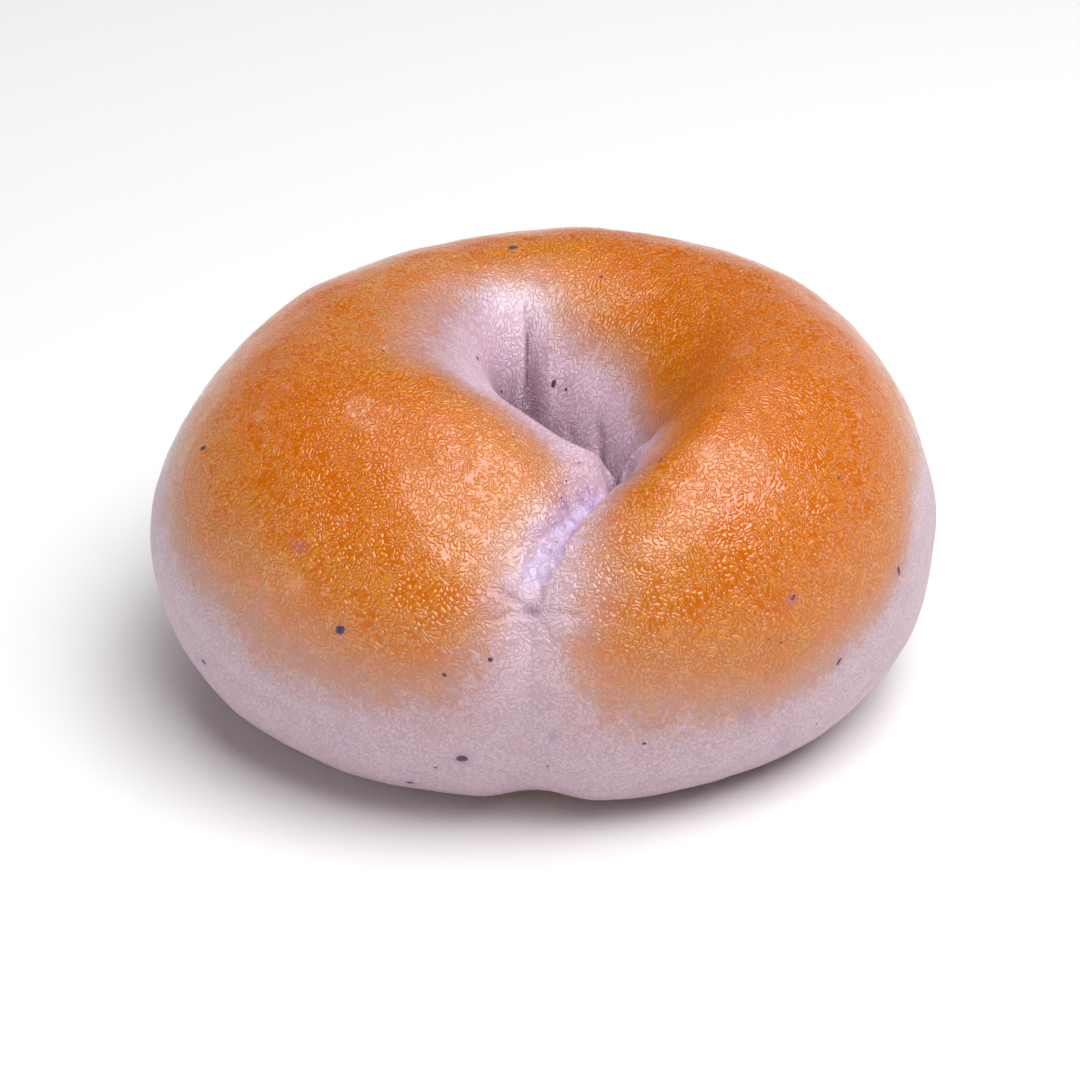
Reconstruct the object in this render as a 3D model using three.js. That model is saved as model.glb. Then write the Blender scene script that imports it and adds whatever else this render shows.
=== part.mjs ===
import * as THREE from "three";

// A bagel: a rope of dough closed into a plump ring whose hole has pinched shut.
// Millimetres, +Z up, flat base on z = 0, the joint of the rope facing -Y.
// "turn" runs round the ring: 0 at the front, 90 at the right, 180 at the back.
// "tube" runs round the rope: 0 outside, 90 on top, 180 in the dimple, -90 below.

// Outline seen from above
const HALF_WIDTH = 50;
const HALF_DEPTH = 47.3;
const OVAL = { cos: 0.9, sin: -1.08 };
const EGG = { cos: -1.34, sin: 0.33 };

// Height of the crest, how it tips and sways round the ring, and the swell of the sides
const CREST_HEIGHT = 45.9;
const CREST_TIP = { cos: 0.49, sin: -0.3 };
const CREST_SWAY = { cos: -0.55, sin: 0.02 };
const WIDEST_HEIGHT = 20.6;
const SINK = 0.4;
const SHOULDER = 1.1;
const CREST_SOFTNESS = 0.02;
const UNDERSIDE_FALL = 1.02;
const UNDERSIDE_FULLNESS = 0.6;

// The pinched hole: the crest ring round it and the closed slit at its bottom
const HOLE = new THREE.Vector2(3, 0.5);
const CREST_RADIUS = 25.5;
const SLIT_BACK = new THREE.Vector2(-6.5, 5.5);
const SLIT_FRONT = new THREE.Vector2(8.2, -17);
const SLIT_HALF_GAP = 0.3;
const SLIT_TURN = 17.2;
const SLIT_HEIGHT = 17;
const SLIT_TURN_IN = 1.6;
const SLIT_END_RISE = 11;
const SLIT_END_REACH = 22;
const BANK_SIDE = 70;
const BANK_SHARE = 0.85;
const BANK_RISE = 8;
const NAVEL_HEIGHT = 6;

// The joint of the rope: a dip between two lobes
const JOINT_START = -6.8;
const JOINT_SWING = 24;
const JOINT_SWING_SPAN = { from: 45, to: 118 };
const DIP = 7;
const DIP_LEFT = { reach: 28, inside: 6 };
const DIP_RIGHT = { reach: 18, inside: 14 };
const DIP_INSIDE_SPAN = { from: 72, to: 128 };

// The groove along the joint: its depth and half width (in degrees of turn) on the
// side of the rope, on the crest and at the foot, and where each takes over
const GROOVE_DEPTH = 0.7;
const GROOVE_CREST = { from: 30, to: 95, deeper: 1.6 };
const GROOVE_FOOT = { from: -60, to: -20, deeper: 0.5 };
const GROOVE_WIDTH = 3;
const GROOVE_CREST_WIDTH = { from: 60, to: 130, wider: 4 };
const GROOVE_FOOT_WIDTH = { from: -50, to: 0, wider: 3.5 };
const GROOVE_START = { from: -85, to: -70 };
const GROOVE_END = { from: 120, to: 160 };
const LEFT_BANK = 1.6;

// The cleft down the back wall of the dimple
const CLEFT_PLACE = -2.75;
const CLEFT_WIDTH = 1.3;
const CLEFT_DEPTH = 2;
const CLEFT_SPAN = { from: 112, to: 150 };
const CLEFT_BACK_WALL = { from: 1, to: 6 };

// Soft swellings of the crust: where they sit, how far they spread and how high they are
const SWELLINGS = [
  { turn: 18, tube: -47, turnReach: 15, tubeReach: 22, height: 0.55 },
  { turn: -14.5, tube: -49, turnReach: 4.5, tubeReach: 16, height: 0.65 },
  { turn: -34, tube: -44, turnReach: 9, tubeReach: 20, height: 0.5 },
  { turn: -54, tube: -33, turnReach: 9, tubeReach: 18, height: 0.35 },
  { turn: -116, tube: 66, turnReach: 13, tubeReach: 24, height: 0.4 },
  { turn: -152, tube: 74, turnReach: 10, tubeReach: 24, height: -0.35 },
  { turn: 177, tube: 76, turnReach: 9, tubeReach: 24, height: 0.3 },
  { turn: 125, tube: 70, turnReach: 12, tubeReach: 24, height: 0.35 },
  { turn: 24, tube: 54, turnReach: 16, tubeReach: 18, height: -0.6 },
  { turn: 13, tube: 114, turnReach: 5, tubeReach: 16, height: -4 },
  { turn: 12, tube: 97, turnReach: 4.5, tubeReach: 9, height: -1.6 },
  { turn: 3, tube: 103, turnReach: 6, tubeReach: 11, height: 0.3 },
];

// The corner of the slit where the two lobes lean together: its line seen from above,
// how far each lobe moves in, how far off the line, and where round the ring
const PINCH_FRONT = new THREE.Vector2(6.7, -26);
const PINCH_BACK = new THREE.Vector2(8.2, -18.5);
const PINCH_LEFT = 0.9;
const PINCH_RIGHT = 0.3;
const PINCH_REACH = 3.2;
const PINCH_START = { from: 86, to: 100 };
const PINCH_END = { from: 140, to: 158 };
const PINCH_TURN = 10;
const PINCH_TURN_REACH = 24;

// Facets
const COLUMNS = 108;
const RINGS = [
  { from: -180, to: -110, steps: 5 },
  { from: -110, to: -79, steps: 1 },
  { from: -79, to: 0, steps: 10 },
  { from: 0, to: 90, steps: 13 },
  { from: 90, to: 180, steps: 15 },
];

const rad = THREE.MathUtils.degToRad;

// 0 below the span, 1 above it, eased between.
function ease(span, value) {
  return THREE.MathUtils.smoothstep(value, span.from, span.to);
}

// A rounded hump of the given width, 1 at its middle.
function hump(offset, width) {
  return Math.exp(-((offset / width) ** 2));
}

// The shorter way between two turns, in degrees.
function between(turn, other) {
  return THREE.MathUtils.euclideanModulo(turn - other + 180, 360) - 180;
}

function wave(term, angle) {
  return term.cos * Math.cos(angle) + term.sin * Math.sin(angle);
}

// A power that stays smooth at zero.
function softPower(value, power) {
  const soft = (value * value + CREST_SOFTNESS) / (1 + CREST_SOFTNESS);
  return value * soft ** ((power - 1) / 2);
}

// Distance from the hole's centre to the outline.
function outlineRadius(turn) {
  const a = rad(turn);
  const dx = Math.sin(a) / HALF_WIDTH;
  const dy = -Math.cos(a) / HALF_DEPTH;
  const cx = HOLE.x / HALF_WIDTH;
  const cy = HOLE.y / HALF_DEPTH;
  const square = dx * dx + dy * dy;
  const half = cx * dx + cy * dy;
  const rest = cx * cx + cy * cy - 1;
  const oval = (Math.sqrt(half * half - square * rest) - half) / square;
  return oval + wave(OVAL, 2 * a) + wave(EGG, 3 * a);
}

// The joint swings from the front towards the slit as it climbs over the crest.
function fromJoint(turn, tube) {
  return between(turn, JOINT_START + JOINT_SWING * ease(JOINT_SWING_SPAN, tube));
}

function crestHeight(turn, tube) {
  const a = rad(turn);
  const side = fromJoint(turn, tube);
  const lobe = side < 0 ? DIP_LEFT : DIP_RIGHT;
  const reach = lobe.reach + lobe.inside * ease(DIP_INSIDE_SPAN, tube);
  return CREST_HEIGHT + wave(CREST_TIP, a) + wave(CREST_SWAY, 2 * a) - DIP * hump(side, reach);
}

// A long thin loop: the two walls of the hole pressed together.
function slitPoint(turn) {
  const along = SLIT_FRONT.clone().sub(SLIT_BACK).multiplyScalar(0.5);
  const across = new THREE.Vector2(-along.y, along.x).setLength(SLIT_HALF_GAP);
  const a = rad(turn - SLIT_TURN);
  return SLIT_BACK.clone()
    .add(along)
    .addScaledVector(along, Math.cos(a))
    .addScaledVector(across, Math.sin(a));
}

// Share of the gentle bank, strongest on the right wall of the dimple.
function bankShare(turn) {
  return BANK_SHARE * (0.5 + 0.5 * Math.cos(rad(turn - BANK_SIDE))) ** 3;
}

function outerPoint(turn, tube, outward) {
  const across = Math.abs(Math.cos(rad(tube)));
  const up = Math.abs(Math.sin(rad(tube)));
  const reach = outlineRadius(turn) - CREST_RADIUS;
  const upper = tube >= 0;
  const spread = upper ? softPower(across, SHOULDER) : across ** UNDERSIDE_FULLNESS;
  const plan = HOLE.clone().addScaledVector(outward, CREST_RADIUS + reach * spread);
  const top = crestHeight(turn, tube);
  const height = upper
    ? WIDEST_HEIGHT + (top - WIDEST_HEIGHT) * softPower(up, SHOULDER)
    : WIDEST_HEIGHT - (WIDEST_HEIGHT + SINK) * up ** UNDERSIDE_FALL;
  return new THREE.Vector3(plan.x, plan.y, height);
}

function innerPoint(turn, tube, outward) {
  const inward = Math.abs(Math.cos(rad(tube)));
  const up = Math.abs(Math.sin(rad(tube)));
  const plan = HOLE.clone()
    .addScaledVector(outward, CREST_RADIUS * (1 - inward))
    .addScaledVector(slitPoint(turn).sub(HOLE), inward ** SLIT_TURN_IN);
  const bank = bankShare(turn);
  const endRise = SLIT_END_RISE * hump(between(turn, SLIT_TURN), SLIT_END_REACH);
  const bottom = SLIT_HEIGHT + BANK_RISE * bank + endRise;
  const wall = (1 - bank) * up + bank * up * up;
  const height =
    tube >= 0
      ? bottom + (crestHeight(turn, tube) - bottom) * wall
      : NAVEL_HEIGHT - (NAVEL_HEIGHT + SINK) * up;
  return new THREE.Vector3(plan.x, plan.y, height);
}

// Depth of the groove along the joint, below the dip.
function grooveDepth(turn, tube) {
  const side = fromJoint(turn, tube);
  const onCrest = ease(GROOVE_CREST_WIDTH, tube);
  const atFoot = 1 - ease(GROOVE_FOOT_WIDTH, tube);
  const width =
    GROOVE_WIDTH + GROOVE_CREST_WIDTH.wider * onCrest + GROOVE_FOOT_WIDTH.wider * atFoot;
  const depth =
    GROOVE_DEPTH +
    GROOVE_CREST.deeper * ease(GROOVE_CREST, tube) +
    GROOVE_FOOT.deeper * (1 - ease(GROOVE_FOOT, tube));
  const ends = ease(GROOVE_START, tube) * (1 - ease(GROOVE_END, tube));
  return depth * ends * hump(side, side < 0 ? LEFT_BANK * width : width);
}

// Height of the soft swellings at a place on the crust.
function swelling(turn, tube) {
  let height = 0;
  for (const swell of SWELLINGS) {
    const aside = hump(between(turn, swell.turn), swell.turnReach);
    height += swell.height * aside * hump(tube - swell.tube, swell.tubeReach);
  }
  return height;
}

// How far the back wall of the dimple is pressed back by the cleft.
function cleftDepth(point, tube) {
  const reach = ease(CLEFT_SPAN, tube) * ease(CLEFT_BACK_WALL, point.y);
  return CLEFT_DEPTH * reach * hump(point.x - CLEFT_PLACE, CLEFT_WIDTH);
}

// How far a point of the crust moves sideways over the pinched corner.
function pinchIn(point, turn, tube) {
  const along = (point.y - PINCH_FRONT.y) / (PINCH_BACK.y - PINCH_FRONT.y);
  const line = THREE.MathUtils.lerp(PINCH_FRONT.x, PINCH_BACK.x, along);
  const gap = (point.x - line) / PINCH_REACH;
  const most = gap < 0 ? PINCH_LEFT : PINCH_RIGHT;
  const ends = ease(PINCH_START, tube) * (1 - ease(PINCH_END, tube));
  const aside = hump(between(turn, PINCH_TURN), PINCH_TURN_REACH);
  return -most * ends * aside * gap * Math.exp((1 - gap * gap) / 2);
}

// A point of the crust, moved along the line from the middle of the rope by its relief.
function crustPoint(turn, tube) {
  const outward = new THREE.Vector2(Math.sin(rad(turn)), -Math.cos(rad(turn)));
  const outside = Math.cos(rad(tube)) >= 0;
  const point = outside ? outerPoint(turn, tube, outward) : innerPoint(turn, tube, outward);
  const middle = HOLE.clone().addScaledVector(outward, CREST_RADIUS);
  const rope = new THREE.Vector3(middle.x, middle.y, WIDEST_HEIGHT);
  const away = point.clone().sub(rope).normalize();
  point.addScaledVector(away, swelling(turn, tube) - grooveDepth(turn, tube));
  if (tube >= 0) point.y += cleftDepth(point, tube);
  point.x += pinchIn(point, turn, tube);
  point.z = Math.max(point.z, 0);
  return point;
}

function tubeAngles() {
  const angles = [];
  for (const { from, to, steps } of RINGS) {
    for (let i = 0; i < steps; i++) angles.push(from + ((to - from) * i) / steps);
  }
  angles.push(RINGS[RINGS.length - 1].to);
  return angles;
}

function middleOf(points) {
  const sum = new THREE.Vector3();
  for (const point of points) sum.add(point);
  return sum.divideScalar(points.length);
}

function crust() {
  const rings = tubeAngles().map((tube) => {
    const ring = [];
    for (let j = 0; j < COLUMNS; j++) ring.push(crustPoint((360 * j) / COLUMNS, tube));
    return ring;
  });
  const points = rings.flat();
  const navel = points.length;
  points.push(middleOf(rings[0]));
  const pit = points.length;
  points.push(middleOf(rings[rings.length - 1]));

  const index = [];
  const last = (rings.length - 1) * COLUMNS;
  for (let j = 0; j < COLUMNS; j++) {
    const next = (j + 1) % COLUMNS;
    for (let row = 0; row < last; row += COLUMNS) {
      const above = row + COLUMNS;
      index.push(row + j, row + next, above + next);
      index.push(row + j, above + next, above + j);
    }
    index.push(next, j, navel);
    index.push(last + j, last + next, pit);
  }
  const shape = new THREE.BufferGeometry().setFromPoints(points);
  shape.setIndex(index);
  shape.computeBoundingBox();
  const centre = shape.boundingBox.getCenter(new THREE.Vector3());
  shape.translate(-centre.x, -centre.y, 0);
  shape.computeVertexNormals();
  return shape;
}

const bagel = new THREE.Mesh(
  crust(),
  new THREE.MeshStandardMaterial({ color: 0xcf8148, roughness: 0.45 }),
);
bagel.name = "bagel";

const part = new THREE.Group();
part.add(bagel);

export default part;
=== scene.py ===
import math

import bpy
import numpy as np
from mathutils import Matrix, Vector, noise
from mathutils.bvhtree import BVHTree


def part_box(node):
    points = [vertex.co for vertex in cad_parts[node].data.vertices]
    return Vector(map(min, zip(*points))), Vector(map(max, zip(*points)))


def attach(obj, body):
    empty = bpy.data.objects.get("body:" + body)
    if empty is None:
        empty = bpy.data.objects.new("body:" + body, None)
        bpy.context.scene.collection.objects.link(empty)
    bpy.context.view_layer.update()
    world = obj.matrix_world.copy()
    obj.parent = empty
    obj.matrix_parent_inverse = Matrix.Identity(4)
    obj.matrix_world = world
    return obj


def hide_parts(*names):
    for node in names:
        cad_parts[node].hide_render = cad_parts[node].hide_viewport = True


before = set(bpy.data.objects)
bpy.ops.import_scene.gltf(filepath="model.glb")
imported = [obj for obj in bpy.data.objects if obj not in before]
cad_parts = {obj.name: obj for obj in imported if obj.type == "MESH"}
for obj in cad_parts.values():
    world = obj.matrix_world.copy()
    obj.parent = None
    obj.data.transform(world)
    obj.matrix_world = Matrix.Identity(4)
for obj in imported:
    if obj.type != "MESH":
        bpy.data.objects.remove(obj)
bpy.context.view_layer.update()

# A blueberry bagel, baked and shiny: a rope of dough closed into a plump ring whose hole has pinched shut.
# "turn" runs round the ring in degrees: 0 at the front, 90 at the right, 180 at the back.
# "tube" runs round the rope: 0 outside, 90 on top, 180 in the dimple, -90 below.

LOW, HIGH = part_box("bagel")
WIDTH_IN_MM = 98.6
MM = (HIGH.x - LOW.x) / WIDTH_IN_MM

# Outline seen from above
HALF_WIDTH = 50.0 * MM
HALF_DEPTH = 47.3 * MM
OVAL = (0.9 * MM, -1.08 * MM)
EGG = (-1.34 * MM, 0.33 * MM)

# Height of the crest, how it tips and sways round the ring, and the swell of the sides
CREST_HEIGHT = 45.9 * MM
CREST_TIP = (0.49 * MM, -0.3 * MM)
CREST_SWAY = (-0.55 * MM, 0.02 * MM)
WIDEST_HEIGHT = 20.6 * MM
SINK = 0.4 * MM
SHOULDER = 1.1
CREST_SOFTNESS = 0.02
UNDERSIDE_FALL = 1.02
UNDERSIDE_FULLNESS = 0.6

# The pinched hole: the crest ring round it and the closed slit at its bottom
HOLE = (3.0 * MM, 0.5 * MM)
CREST_RADIUS = 25.5 * MM
SLIT_BACK = (-6.5 * MM, 5.5 * MM)
SLIT_FRONT = (8.2 * MM, -17.0 * MM)
SLIT_HALF_GAP = 0.3 * MM
SLIT_TURN = 17.2
SLIT_HEIGHT = 17.0 * MM
SLIT_TURN_IN = 1.6
SLIT_END_RISE = 11.0 * MM
SLIT_END_REACH = 22
BANK_SIDE = 70
BANK_SHARE = 0.85
BANK_RISE = 8.0 * MM
NAVEL_HEIGHT = 6.0 * MM

# The joint of the rope: a dip between two lobes with a groove along it
JOINT_START = -6.8
JOINT_SWING = 24.0
JOINT_SWING_FROM = 45
JOINT_SWING_TO = 118
DIP = 7.0 * MM
DIP_LEFT, DIP_LEFT_INSIDE = 28, 6
DIP_RIGHT, DIP_RIGHT_INSIDE = 18, 14
LEFT_BANK = 1.6
GROOVE_WIDTH, GROOVE_WIDER_ABOVE, GROOVE_WIDER_BELOW = 3, 4, 3.5
GROOVE_DEPTH, GROOVE_DEEPER_ABOVE, GROOVE_DEEPER_BELOW = 0.7 * MM, 1.6 * MM, 0.5 * MM

# The cleft down the back wall of the dimple
CLEFT_PLACE = -2.75 * MM
CLEFT_LEFT, CLEFT_RIGHT = 0.22 * MM, 1.3 * MM
CLEFT_DEPTH = 2.0 * MM
CLEFT_SPAN = (112, 150)
BACK_WALL = (1 * MM, 6 * MM)

# Upright folds of the back wall beside it: place, width and depth in mm
BACK_FOLDS = [(-4.0, 0.6, -0.12), (0.1, 0.4, -0.25), (-5.2, 0.5, 0.15), (2.1, 0.7, 0.15)]

# Soft swellings of the crust: turn, tube, how far they spread in turn and tube, and how high
SWELLINGS = [
    (18, -47, 15, 22, 0.55 * MM),
    (-14.5, -49, 4.5, 16, 0.65 * MM),
    (-34, -44, 9, 20, 0.5 * MM),
    (-54, -33, 9, 18, 0.35 * MM),
    (-116, 66, 13, 24, 0.4 * MM),
    (-152, 74, 10, 24, -0.35 * MM),
    (177, 76, 9, 24, 0.3 * MM),
    (125, 70, 12, 24, 0.35 * MM),
    (24, 54, 16, 18, -0.6 * MM),
    (13, 114, 5, 16, -4.0 * MM),
    (12, 97, 4.5, 9, -1.6 * MM),
    (12.5, 103, 2, 10, -1.5 * MM),
    (3, 103, 6, 11, 0.3 * MM),
    (12.5, 130, 2.2, 12, -2.5 * MM),
]

# The corner where the two lobes pinch together: the ends of its line seen from above, how far out it pulls,
# how far each side moves in, and the tube angles and turns between which it does
PINCH_FROM, PINCH_TO = (6.7 * MM, -26.0 * MM), (8.2 * MM, -18.5 * MM)
PINCH_REACH = 3.2 * MM
PINCH_LEFT, PINCH_RIGHT = 0.9 * MM, 0.3 * MM
PINCH_START, PINCH_END = (86, 100), (140, 158)
PINCH_TURN, PINCH_TURN_REACH = 10, 24

# The strip of wet dough left bare along the joint: turn is that of the joint; tube and width in mm
STRIP = [(40, 1.0), (46, 2.6), (53, 3.6), (62, 3.0), (74, 2.4), (84, 2.0), (92, 1.4)]
STRIP_DEPTH = 0.25

# Bubbles and pits in the strip: turn, tube, size in mm
STRIP_BUBBLES = [(1, 76, 2.0), (-5, 51, 1.5), (4, 84, 1.2), (-1, 70, 0.9), (5, 88, 0.9)]
STRIP_PITS = [(-4, 62, 0.8), (-5, 58, 0.9), (-1, 66, 0.6), (-2.5, 69, 0.5)]

# The pucker where the joint closes, and the creases that run into it
PUCKER = (-6.9, 36)
PUCKER_WIDTH = 0.55
PUCKER_DEPTH = 0.5

# Low unevenness of the whole crust: size of its lumps, height in mm, seed
UNEVENNESS = [(9 * MM, 0.24, 3.1), (4.5 * MM, 0.1, 6.2), (2.3 * MM, 0.05, 8.7)]

# Creases: stops along each (turn, tube), then width and depth in mm
CREASES = [
    ([(-6.9, 36), (-3, 35.5), (0, 34)], 0.35, 0.3),
    ([(-6.9, 36), (-9, 39), (-13, 43)], 0.35, 0.25),
    ([(-6.9, 36), (-10, 35), (-13, 32)], 0.35, 0.25),
    ([(-6.9, 36), (-5.5, 41), (-6.4, 46)], 0.4, 0.4),
    ([(-6.9, 36), (-4.5, 31), (-3.5, 26)], 0.35, 0.25),
    ([(-6.9, 36), (-6.8, 10), (-6.8, -15), (-6.8, -44)], 0.6, 0.14),
    ([(-64, -1), (-53, -11), (-44, -15), (-32, -17), (-22, -33)], 1.2, 0.3),
    ([(-5, -48), (4, -40), (16, -38), (24, -42)], 0.9, 0.22),
    ([(46, -33), (54, -26), (63, -20)], 0.9, 0.22),
    ([(127.5, 148.7), (118, 151.2)], 0.6, 0.25),
    ([(112, 143), (100, 147.5), (88, 153)], 0.8, 0.45),
    ([(74.8, 147.9), (50, 133), (30, 113), (26, 98)], 0.7, 0.12),
]

# Blisters and rings in the crust: turn, tube, size in mm; and how high their rims stand in mm
BLISTER_RIM = 0.07
BLISTERS = [
    (-52, 74, 3.1),
    (-46, 71, 2.0),
    (-67, 55, 1.8),
    (-31, 82, 1.3),
    (-135, 92, 2.3),
    (-24, 58, 1.0),
    (74, 100, 2.6),
    (155, 117, 1.8),
    (180, 114, 1.7),
    (163, 119, 1.3),
    (-4, 31, 0.9),
    (-4, 25, 0.9),
    (-4, 19, 0.8),
    (-4, 12, 0.8),
    (-9, 27, 0.8),
    (-9, 22, 0.8),
    (-9, 17, 0.8),
]

# Pale and juice-stained patches: turn, tube, size in mm, strength. The stains just left of the strip also
# paint the shadow along its left edge.
PALE_PATCHES = [
    (-41, 27, 1.8, 0.7),
    (28, 69, 2.3, 0.8),
    (74, 30, 1.8, 0.4),
    (-24, 22, 1.0, 0.4),
    (-7, 30, 2.4, 0.25),
    (-7, 20, 2.6, 0.3),
    (-7, 8, 2.6, 0.25),
]
STAINS_AND_SHADOW = [
    (-16, -23, 2.2, 0.9),
    (-33, 20, 1.4, 0.4),
    (-57, -16, 1.6, 0.9),
    (42, -5, 1.6, 0.5),
    (34, 22, 1.7, 0.4),
    (57, 13, 1.2, 0.5),
    (26, -14, 2.4, 0.45),
    (34, -35, 2.4, 0.5),
    (-43, 36, 1.6, 0.55),
    (-46, 17, 1.2, 0.4),
    (-34, -24, 1.5, 0.3),
    (-3, -12, 1.3, 0.5),
    (-6.9, 36, 1.6, 1.0),
    (-6.9, 44, 1.0, 0.4),
    # These three, left of the strip, are painted shadow along its edge as well as juice stain
    (-8, 64, 1.8, 0.7),
    (-9, 60, 1.4, 0.5),
    (-5, 69, 1.4, 0.6),
    (-2, 76, 2.0, 1.0),
    (0, 72, 2.0, 0.9),
    (-2, 70, 1.8, 0.8),
    (2, 82, 2.2, 1.0),
    (4.5, 80, 2.4, 1.0),
    (4, 86, 2.0, 0.9),
    (-6.9, 33, 2.2, 0.55),
    (-7, 40, 2.0, 0.45),
    (-9.5, 42, 3.0, 0.4),
    (-12.5, 39, 3.0, 0.35),
    (-25, -43, 1.6, 0.5),
]

# Pieces of berry in the crust: turn, tube, length and width in mm, lean in degrees
BERRIES = [
    (-162, 92, 1.5, 1.0, 0),
    (-72, 39, 1.1, 0.8, 60),
    (-33, 20, 1.3, 1.15, 0),
    (-16, -23, 1.6, 1.2, 10),
    (-12, 20, 0.65, 0.6, 0),
    (-18, 13, 0.6, 0.5, 0),
    (153, 141, 0.75, 1.15, 10),
    (143, 141, 0.5, 0.5, 0),
    (-107, 130, 0.5, 1.0, 20),
    (-156, 147, 0.45, 0.45, 0),
    (-17, 92, 0.35, 0.25, 30),
    (-69, 92, 0.6, 0.3, 0),
    (-67, 78, 0.3, 0.25, 0),
    (20, 79, 0.9, 0.4, 20),
    (39, 83, 0.5, 0.35, 0),
    (51, 46, 0.5, 0.4, 0),
    (57, 13, 0.6, 1.3, 0),
    (42, -5, 1.2, 0.45, 50),
    (-57, -16, 1.0, 0.6, -30),
    (-20, -29, 0.5, 0.3, 0),
    (-25, -43, 1.2, 0.5, 0),
    (10, -17, 0.6, 0.45, 0),
    (34, 22.5, 0.9, 0.5, 35),
    (29, 13, 0.35, 0.25, 0),
    (31, 11, 0.35, 0.3, 0),
    (164, 107, 0.5, 0.4, 0),
    (0, 95, 0.3, 0.3, 0),
    (-2, 85, 0.35, 0.3, 0),
    (-3, 78, 0.3, 0.25, 0),
    (40, -31, 0.35, 0.3, 0),
    (-4, -28, 0.35, 0.3, 0),
]

# Each fleck of berry: where its rings stand, as shares of its reach, and points in a ring
FLECK_RINGS = (0.4, 0.7, 0.9, 1.0)
FLECK_SIDES = 14

# Browning round the ring: below the first tube angle the dough is pale, above the second it is deep golden
BROWN_FROM = [
    (-180, 14), (-90, 20), (-70, 7), (-50, -8), (-30, -26), (10, -34),
    (30, -32), (50, -10), (70, 16), (90, 14), (180, 14),
]
BROWN_FULL = [
    (-180, 62), (-90, 60), (-70, 58), (-50, 56), (-30, 60), (10, 56),
    (30, 38), (50, 40), (70, 50), (90, 66), (180, 62),
]
# and over the crest, deep golden up to the first and pale again from the second
BROWN_TO = [
    (-180, 80), (-170, 76), (-150, 82), (-130, 62), (-110, 62), (-90, 60), (-70, 60),
    (-50, 78), (-30, 76), (-14, 70), (0, 64), (18, 80), (30, 86), (50, 110), (90, 114),
    (130, 104), (150, 104), (170, 84), (180, 80),
]
BROWN_END = [
    (-180, 130), (-170, 126), (-150, 118), (-130, 128), (-90, 128), (-70, 120), (-50, 116),
    (-30, 114), (-14, 110), (0, 104), (18, 106), (30, 116), (50, 140), (70, 142),
    (110, 140), (130, 138), (170, 140), (180, 130),
]
# How far the pale joint spreads to its left and right, in turn, by tube angle
JOINT_PALE_LEFT = [(20, 12), (40, 10), (60, 15), (80, 15)]
JOINT_PALE_RIGHT = [(20, 11), (40, 19), (54, 19), (66, 14), (86, 16), (100, 18), (115, 18)]

# The tube angle of the dimple's rim, from which the wrinkles are drawn out
RIM_TUBE = 98

# The crust mesh
COLUMNS = 440
ROWS = 214


def ease(start, end, value):
    """0 below start, 1 above end, eased between."""
    t = np.clip((value - start) / (end - start), 0, 1)
    return t * t * (3 - 2 * t)


def hump(offset, width):
    """A rounded hump, 1 at its middle."""
    return np.exp(-((offset / width) ** 2))


def between(turn, other):
    """The shorter way between two turns."""
    return (turn - other + 180) % 360 - 180


def wave(term, angle):
    """A cosine and a sine share, read at an angle."""
    return term[0] * np.cos(angle) + term[1] * np.sin(angle)


def outline_radius(turn):
    """Distance from the hole's centre to the outline."""
    a = np.radians(turn)
    dx = np.sin(a) / HALF_WIDTH
    dy = -np.cos(a) / HALF_DEPTH
    cx = HOLE[0] / HALF_WIDTH
    cy = HOLE[1] / HALF_DEPTH
    square = dx * dx + dy * dy
    half = cx * dx + cy * dy
    oval = (np.sqrt(half * half - square * (cx * cx + cy * cy - 1)) - half) / square
    return oval + wave(OVAL, 2 * a) + wave(EGG, 3 * a)


def joint_turn(tube):
    """The joint swings from the front towards the slit as it climbs over the crest."""
    return JOINT_START + JOINT_SWING * ease(JOINT_SWING_FROM, JOINT_SWING_TO, tube)


def crest_height(turn, tube):
    """Height of the crest round the ring, with its dip at the joint."""
    a = np.radians(turn)
    side = between(turn, joint_turn(tube))
    inside = ease(72, 128, tube)
    left = DIP_LEFT + DIP_LEFT_INSIDE * inside
    right = DIP_RIGHT + DIP_RIGHT_INSIDE * inside
    dip = DIP * hump(side, np.where(side < 0, left, right))
    return CREST_HEIGHT + wave(CREST_TIP, a) + wave(CREST_SWAY, 2 * a) - dip


def slit_point(turn):
    """A long thin loop: the two walls of the hole pressed together."""
    along = np.subtract(SLIT_FRONT, SLIT_BACK) / 2
    middle = np.add(SLIT_FRONT, SLIT_BACK) / 2
    across = np.array([-along[1], along[0]]) * SLIT_HALF_GAP / np.hypot(*along)
    a = np.radians(turn - SLIT_TURN)
    x = middle[0] + along[0] * np.cos(a) + across[0] * np.sin(a)
    y = middle[1] + along[1] * np.cos(a) + across[1] * np.sin(a)
    return x, y


def soft_power(value, power):
    """A power that stays smooth at zero."""
    softened = (value * value + CREST_SOFTNESS) / (1 + CREST_SOFTNESS)
    return np.abs(value) * softened ** ((power - 1) / 2)


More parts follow.
